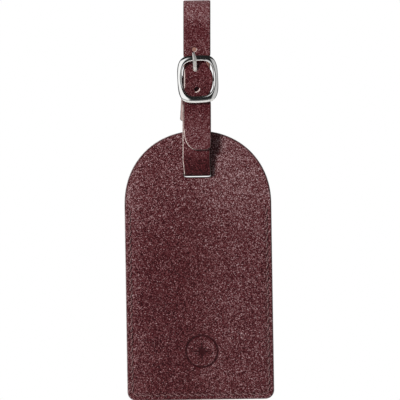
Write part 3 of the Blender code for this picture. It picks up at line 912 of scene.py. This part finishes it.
def place_on_route(t, u, h):
    """A point of the strap: t along it (stretched where it bends), u across it, h out of its grain side.
    The slanting tongue drags the leather's inside down at the hole that it goes through, and the
    buckle squeezes the strap's lower left edge out from under the rest."""
    drag = np.exp(-(((t - USED_HOLE_T) ** 2 + u**2) / 2.4**2))
    under = np.clip(0.5 - h / STRAP_THICKNESS, 0, 1)
    splay = 0.75 * under * np.clip(-u / 3 - 1, 0, 1) * np.exp(-(((t - BAR_T) / 5.0) ** 4))
    t = t + 1.3 * drag * under
    y, z = (np.interp(t, ROUTE_T, ROUTE[:, k]) for k in range(2))
    ny, nz = (np.interp(t, ROUTE_T, NORMAL[:, k]) for k in range(2))
    length = np.hypot(ny, nz)
    shift, width = swell(t, y, z)
    x = u * width + shift + strap_shift(t, z) - splay
    return columns(x, y + h * ny / length, z + h * nz / length)


def strap_shift(t, z):
    """Sideways drift of the strap: the turned end lies askew, and the whole loop leans a little."""
    askew = -1.1 * np.clip(1 - t / 18.0, 0, 1)
    return askew + LEAN * (z - PIVOT_Z) + 0.04 * np.sin(z / 9.0 + 1.0)


def swell(t, y, z):
    """(shift, width) of the strap. The layer that goes into the slot lies a little to the left and
    narrows into the slot; the tail arches over the bar and squeezes under the frame's ends."""
    over = z - BAR_Z
    arch = np.exp(-((over / 4.6) ** 2))
    high = np.exp(-(((over - 8.6) / np.where(over < 8.6, 3.4, 1.3)) ** 2))
    low = np.exp(-(((over + 8.5) / np.where(over > -8.5, 2.6, 0.9)) ** 2))
    to_slot = np.clip((z - SLOT_RUN_Z - 0.8) / 6.0, 0, 1)
    share = t / LENGTH_T
    folded = share < FOLDED_END
    on_tail = share > TAIL_START
    tail_shift = 0.05 + 0.72 * arch - 0.7 * high - 0.7 * low
    shift = np.where(folded, -0.46 * to_slot, np.where(on_tail, tail_shift, 0.0))
    tail_width = 1.015 + 0.07 * arch - 0.27 * high - 0.25 * low
    width = np.where(folded, 1 + 0.033 * to_slot, np.where(on_tail, tail_width, 1.0))
    in_slot = np.exp(-((y / 2.2) ** 8) - ((z - SLOT_RUN_Z) / 3.0) ** 2)
    return shift, width - 0.027 * in_slot


def t_at(z, low, high):
    """Where the strap passes height z, between two shares of its length."""
    window = (ROUTE_T >= low * LENGTH_T) & (ROUTE_T <= high * LENGTH_T)
    return float(ROUTE_T[window][np.abs(ROUTE[window, 1] - z).argmin()])


USED_HOLE_T = t_at(USED_HOLE_Z, TAIL_START, 1.0)
BAR_T = t_at(BAR_Z + 0.8, TAIL_START, 1.0)
FOLD_TOP = float(ROUTE_T[np.argmax(np.where(ROUTE_T < 0.2 * LENGTH_T, ROUTE[:, 1], -1e9))])


def strap_outline():
    """The cut strip in (t, u): square at its turned end, its tip cut in a long curve on one side."""
    half, length, corner = STRAP_WIDTH / 2, LENGTH_T, 0.9
    return (
        arc((corner, -half + corner), corner, 180, 270, 6)
        + ellipse((length - 8.3, -0.3), 8.3, half - 0.3, 270, 360, 30)
        + ellipse((length - 1.7, 2.9), 1.7, half - 2.9, 0, 90, 12)
        + arc((corner, half - corner), corner, 90, 180, 6)
    )


def hole(t, radius, stretch=0.0, u=0.0):
    """A round hole, or a slot where it is stretched along the strap."""
    points = arc((t + stretch / 2, u), radius, -90, 90, 14) + arc((t - stretch / 2, u), radius, 90, 270, 14)
    return resampled(points, 0.26)


def build_strap():
    outline = resampled(strap_outline(), 0.5)
    used_hole = (USED_HOLE_T, USED_HOLE_U)
    free_holes = [(t_at(USED_HOLE_Z + rise, TAIL_START, 1.0), u) for rise, u in ((8.8, -1.15), (-9.0, -0.4))]
    fold_share = FOLD_TOP / LENGTH_T
    low_back = t_at(BAR_Z - 2.2, 0.0, fold_share)
    low_front = t_at(BAR_Z - 2.2, fold_share, 0.2)
    fold_front = t_at(BAR_Z - 11.0, fold_share, 0.3)
    slot_t = t_at(SLOT_RUN_Z + 0.6, 0.1, FOLDED_END)
    bar_t = t_at(BAR_Z + 0.5, TAIL_START, 1.0)
    slot_radius = 1.3
    fold_slot = hole((low_back + low_front) / 2, slot_radius, low_front - low_back - 2 * slot_radius)
    holes = [fold_slot, hole(USED_HOLE_T, 1.15, u=USED_HOLE_U), *(hole(t, 1.0, u=u) for t, u in free_holes)]

    def grain(a, b):
        dished = 0.05 * (1 - (b / 6.0) ** 2)
        pressed = sum(0.09 * np.exp(-(((a - t) ** 2 + (b - u) ** 2) / 5.0)) for t, u in free_holes)
        return STRAP_THICKNESS / 2 + dished + 0.025 * waves(a, b, 21, 12) - pressed

    def flesh(a, b):
        return np.full_like(a, STRAP_THICKNESS / 2 - 0.03)

    def finish(points, gap):
        """Edges are dull with a burnished rim. A pale edge is painted on as highlight where the light from
        the left falls: along the left edge of the folded layer, at the bar and at the tip, and at the low
        right of each hole."""
        a, b = points[:, 0], points[:, 1]
        # The left edges that the light from the left falls on get the pale edge: painted highlight.
        lit_left_edge = (a > fold_front) & (a < slot_t) | (a > LENGTH_T - 9.5) | (np.abs(a - bar_t) < 4.2)
        found = np.where(gap < 0.22, STRAP_DULL, GRAIN_SIDE)
        found[gap < 0.07] = CUT_EDGE
        found[(b < -2) & lit_left_edge & (gap > 0.10) & (gap < 0.36)] = STRAP_HIGHLIGHT_EDGE
        for (t, u), lit_rim_width in zip((*free_holes, used_hole), (0.26, 0.42, 0.2)):
            near = (a - t) ** 2 + (b - u) ** 2 < 2.0**2
            # On each hole's rim, the low right side, which faces the light, gets the pale edge: painted
            # highlight.
            lit_rim = (gap < lit_rim_width) & ((a - t) + (b - u) > 0.7)
            rim = np.where(lit_rim, STRAP_HIGHLIGHT_EDGE, np.where(gap < 0.14, CUT_EDGE, GRAIN_SIDE))
            found[near] = rim[near]
        return found

    made = sheet_of_leather(
        "strap_leather",
        outline,
        holes,
        (0.03, 0.11, 0.26, 0.50, 0.85),
        0.75,
        0.42,
        grain,
        flesh,
        place_on_route,
        (STRAP_LEATHER, BURNISHED, FLESH, LIT_EDGE_HIGHLIGHT, DULL_EDGE),
        finish,
    )
    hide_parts("strap")
    return made


strap = build_strap()


def build_fold_stitches(name, z, replaced):
    """A short running stitch through the folded end."""
    half, sunk = 1.4, 0.1
    front_y = MAIN_Y - STRAP_THICKNESS / 2 + sunk
    back_y = TURNED_Y + STRAP_THICKNESS / 2 - sunk
    xs = [-3 * half, -half, half, 3 * half]
    corners = [(xs[0] - half * 0.8, back_y)]
    for i, x in enumerate(xs):
        first, second = (back_y, front_y) if i % 2 == 0 else (front_y, back_y)
        corners += [(x, first), (x, second)]
    corners.append((xs[-1] + half * 0.8, back_y))
    flat = smoothed(resampled(corners, 0.12, closed=False), 3)
    line = columns(flat[:, 0], flat[:, 1], np.full(len(flat), z))
    _, side, up = frames_along(line, np.array([0.0, 0.0, 1.0]))
    points, faces = swept(line, side, up, super_oval(0.22, 0.22, 2, 10))
    made = new_object(name, points, faces, (THREAD,))
    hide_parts(replaced)
    return made


fold_upper = build_fold_stitches("fold_stitches_upper", -46.2, "fold_stitch_upper")
fold_lower = build_fold_stitches("fold_stitches_lower", -50.4, "fold_stitch_lower")


# ---- The buckle


# Places are measured from the middle of the bar.
FRAME_TURN = math.radians(2.0)
FRAME_SHIFT = LEAN * (BAR_Z - PIVOT_Z) + 0.35
FRAME_Y, RAIL_DIP, FRAME_HALF_THICKNESS = -3.75, 1.3, 0.86
FRAME_TILT = math.radians(11)
BAR_END_X, BAR_END_Y, BAR_BEND = 8.05, -2.4, 1.1
EYE_RADIUS, EYE_POINTS = 1.25, 60
TONGUE_X = -1.1


def resampled_angles(count=240):
    """Angles that space points evenly round the frame's barrel shape."""
    fine = np.linspace(0, 2 * math.pi, 7201)
    steps = np.diff(super_curve(fine, 8.0, 9.2, 3.4, 3.2), axis=0)
    along = np.concatenate([[0], np.cumsum(np.hypot(steps[:, 0], steps[:, 1]))])
    return np.interp(np.linspace(0, along[-1], count + 1)[:-1], along, fine)


def build_frame():
    """A barrel-shaped frame with soft bevels and its bar, which bends forward into the side rails."""
    angles = resampled_angles()
    outer = super_curve(angles, 9.12, 10.75, 3.7, 3.3) + (0, 0.2)
    inner = super_curve(angles, 7.0, 7.8, 3.3, 3.1) + (0, 0.45)
    middle = (outer + inner) / 2
    half = np.linalg.norm(outer - inner, axis=1) / 2
    across = (outer - inner) / (2 * half)[:, None]
    reach = np.minimum(np.abs(middle[:, 1]) / 9.0, 1)
    y = FRAME_Y + RAIL_DIP * np.cos(reach * math.pi / 2) ** 2
    line = columns(middle[:, 0], y, middle[:, 1])
    outward = columns(across[:, 0], np.zeros(len(half)), across[:, 1])
    face = np.array([0.0, -1.0, 0.0])
    profile = super_oval(1.0, 1.0, 2.2, 32)
    cos, sin = math.cos(FRAME_TILT), math.sin(FRAME_TILT)
    rows = []
    for i in range(len(line)):
        a, b = profile[:, :1] * half[i], profile[:, 1:] * FRAME_HALF_THICKNESS
        rows.append(line[i] + outward[i] * (a * cos + b * sin) + face * (b * cos - a * sin))
    x, y, z = np.vstack(rows).T
    cos, sin = math.cos(FRAME_TURN), math.sin(FRAME_TURN)
    ring = columns(x * cos - z * sin, y, x * sin + z * cos)

    corner = BAR_END_X - BAR_BEND
    left = arc((-corner, -BAR_BEND), BAR_BEND, 180, 90, 10)
    right = arc((corner, -BAR_BEND), BAR_BEND, 90, 0, 10)
    ends = (-BAR_END_X, BAR_END_Y), (BAR_END_X, BAR_END_Y)
    flat = resampled([ends[0], *left, *right, ends[1]], 0.25, closed=False)
    bar = columns(flat[:, 0], flat[:, 1], np.zeros(len(flat)))
    _, side, up = frames_along(bar, np.array([0.0, 0.0, 1.0]))
    rod = swept(bar, side, up, super_oval(BAR_RADIUS, BAR_RADIUS, 2, 20))
    points, faces = joined([(ring, tube_faces(len(line), len(profile), closed=True)), rod])
    made = new_object("buckle_frame_polished", points + (FRAME_SHIFT, BAR_Y, BAR_Z), faces, (NICKEL,))
    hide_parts("buckle_frame")
    return made


def build_tongue():
    """The tongue: an eye curled round the bar, then a shank through the strap and over the frame."""
    angles = np.radians(np.linspace(40, 360, EYE_POINTS))
    eye = [(EYE_RADIUS * math.cos(a), EYE_RADIUS * math.sin(a)) for a in angles]
    shank = [
        (EYE_RADIUS, 1.2),
        (1.32, 2.0),
        (1.6, 2.6),
        (3.35, 4.6),
        (3.85, 5.4),
        (5.25, 9.0),
        (5.36, 10.4),
        (5.30, 11.4),
        (5.15, 12.3),
    ]
    flat = smoothed(resampled(eye + shank, 0.12, closed=False), 12, first=56)
    shank_part = np.arange(len(flat)) > len(flat) // 3
    rise = flat[:, 1]
    lean = np.where(shank_part, -0.03 * np.clip(rise - 3, 0, None) - 0.18 * np.clip(rise - 9.4, 0, None), 0)
    line = columns(lean + TONGUE_X, -flat[:, 0], rise)
    sideways = np.tile(np.array([1.0, 0.0, 0.0]), (len(line), 1))
    tangent, _, _ = frames_along(line, sideways[0])
    across = unit(sideways - tangent * (sideways * tangent).sum(axis=1)[:, None])
    face = np.cross(across, tangent)
    steps = np.linalg.norm(np.diff(line, axis=0), axis=1)
    from_tip = np.concatenate([np.cumsum(steps[::-1])[::-1], [0]])
    point = np.sqrt(np.clip(1 - (1 - np.clip(from_tip / 0.7, 0, 1)) ** 2, 0.03, 1))
    taper = 0.66 + 0.34 * np.clip(from_tip / 3.2, 0, 1)
    scale = columns(point * taper, 0.5 + 0.5 * point)
    profile = super_oval(0.84, 0.42, 3.4, 40)
    points, faces = swept(line, across, face, profile, scale)
    made = new_object("buckle_tongue_polished", points + (FRAME_SHIFT, BAR_Y, BAR_Z), faces, (WORN_NICKEL,))
    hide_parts("buckle_tongue")
    return made


buckle = build_frame()
tongue = build_tongue()


# ---- Which body each piece rides on, with the record slot listed for each

for piece, body, slot in (
    (front, "sleeve", "leather"),
    (back, "sleeve", "leather"),
    (needle_stitches, "sleeve", "thread"),
    (bobbin_stitches, "sleeve", "thread"),
    (strap, "strap_body", "leather"),
    (fold_upper, "strap_body", "thread"),
    (fold_lower, "strap_body", "thread"),
    (buckle, "buckle", "nickel"),
    (tongue, "tongue", "nickel"),
):
    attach(piece, body)


# ---- Camera, lights and floor


def aimed(obj, target):
    obj.rotation_mode = "QUATERNION"
    obj.rotation_quaternion = (Vector(target) - obj.location).to_track_quat("-Z", "Y")


def area_light(name, location, target, size, power, colour=(1, 1, 1)):
    data = bpy.data.lights.new(name, "AREA")
    data.energy = power
    data.color = colour
    data.size = size
    obj = bpy.data.objects.new(name, data)
    bpy.context.scene.collection.objects.link(obj)
    obj.location = location
    obj.visible_camera = False
    obj.visible_glossy = False
    aimed(obj, target)


def studio_world():
    """White behind the tag for the camera. For everything else the room is dark in front and above,
    and pale behind and below, which is what draws the bands on the polished buckle."""
    world = bpy.data.worlds.new("studio_world")
    bpy.context.scene.world = world
    world.use_nodes = True
    nodes, links = world.node_tree.nodes, world.node_tree.links

    def add(kind, inputs=(), **settings):
        node = nodes.new(kind)
        for key, value in settings.items():
            setattr(node, key, value)
        for key, value in inputs:
            if isinstance(value, bpy.types.NodeSocket):
                links.new(value, node.inputs[key])
            else:
                node.inputs[key].default_value = value
        return node

    direction = add("ShaderNodeSeparateXYZ", [(0, add("ShaderNodeTexCoord").outputs["Generated"])]).outputs

    def ramp(axis, low, high, level):
        """From 0 where the axis is at low to level where it is at high."""
        inputs = [("Value", direction[axis]), ("From Min", low), ("From Max", high), ("To Max", level)]
        return add("ShaderNodeMapRange", inputs).outputs["Result"]

    def combined(operation, first, second):
        return add("ShaderNodeMath", [(0, first), (1, second)], operation=operation).outputs[0]

    behind = ramp("Y", 0.45, 0.80, 0.42)
    under = combined("MULTIPLY", ramp("Z", -0.80, -0.93, 0.90), ramp("X", -0.14, -0.05, 1.0))
    below = combined("MAXIMUM", under, ramp("Z", -0.30, -0.50, 0.17))
    sides = combined("MULTIPLY", ramp("Y", 0.10, -0.10, 1.0), ramp("Z", 0.60, 0.50, 1.0))
    near_left = combined("MULTIPLY", sides, ramp("Y", -0.10, -0.34, 1.0))
    left_band = combined("MULTIPLY", near_left, ramp("Z", -0.58, -0.40, 1.0))
    left = combined("MULTIPLY", ramp("X", -0.06, -0.14, 1.20), left_band)
    right_band = combined("MULTIPLY", sides, ramp("Z", -0.85, -0.65, 1.0))
    right = combined("MULTIPLY", ramp("X", 0.30, 0.40, 0.62), right_band)
    total = combined("MAXIMUM", combined("MAXIMUM", behind, below), combined("MAXIMUM", left, right))
    room = combined("ADD", total, 0.02)
    path = add("ShaderNodeLightPath").outputs
    by_ray = [("Value", path["Is Diffuse Ray"]), ("To Min", room), ("To Max", 0.035)]
    level = add("ShaderNodeMapRange", by_ray).outputs["Result"]
    ambient = add("ShaderNodeBackground", [("Color", (0.97, 0.98, 1.0, 1)), ("Strength", level)])
    seen = nodes["Background"]
    seen.inputs["Color"].default_value = (1, 1, 1, 1)
    seen.inputs["Strength"].default_value = 1.0
    choices = [(0, path["Is Camera Ray"]), (1, ambient.outputs[0]), (2, seen.outputs[0])]
    mixer = add("ShaderNodeMixShader", choices)
    links.new(mixer.outputs[0], nodes["World Output"].inputs[0])


def new_camera(middle):
    """A long lens straight ahead of the middle, a little to its right and rolled a little."""
    view_size, aside, roll_angle = 0.180, 0.97 * MM, math.radians(-0.9)
    camera_data = bpy.data.cameras.new("camera")
    camera_data.lens = 300
    camera_data.clip_start = 0.01
    camera = bpy.data.objects.new("camera", camera_data)
    bpy.context.scene.collection.objects.link(camera)
    bpy.context.scene.camera = camera
    distance = view_size * camera_data.lens / camera_data.sensor_width
    camera.location = (aside, -distance, middle.z)
    camera.rotation_mode = "QUATERNION"
    roll = Matrix.Rotation(roll_angle, 4, "Z")
    level = Vector((0, 1, 0)).to_track_quat("-Z", "Y").to_matrix().to_4x4()
    camera.rotation_quaternion = (level @ roll).to_quaternion()


def new_floor():
    """A pale round floor below the tag, out of the camera's sight from the front."""
    mesh = bpy.data.meshes.new("floor")
    disc = bmesh.new()
    bmesh.ops.create_circle(disc, cap_ends=True, segments=96, radius=0.26)
    disc.to_mesh(mesh)
    disc.free()
    floor = bpy.data.objects.new("floor", mesh)
    floor.location = (0, 0, -0.235)
    bpy.context.scene.collection.objects.link(floor)
    pale = Nodes("pale_floor")
    mesh.materials.append(pale.finish(Base_Color=(0.86, 0.86, 0.86, 1), Roughness=0.7))
    return floor


def studio():
    middle = Vector((0, 0, -88.65 * MM))
    new_camera(middle)
    area_light("key_left", (-0.55, -0.70, 0.26), middle, 0.26, 12.1, (1.0, 0.985, 0.97))
    area_light("overhead", (-0.10, -0.10, 0.50), middle, 0.30, 0.7)
    area_light("back_light", (0.45, 0.68, 0.42), middle, 0.30, 6.0)
    studio_world()
    bpy.context.scene.view_settings.view_transform = "Standard"
    new_floor()


studio()
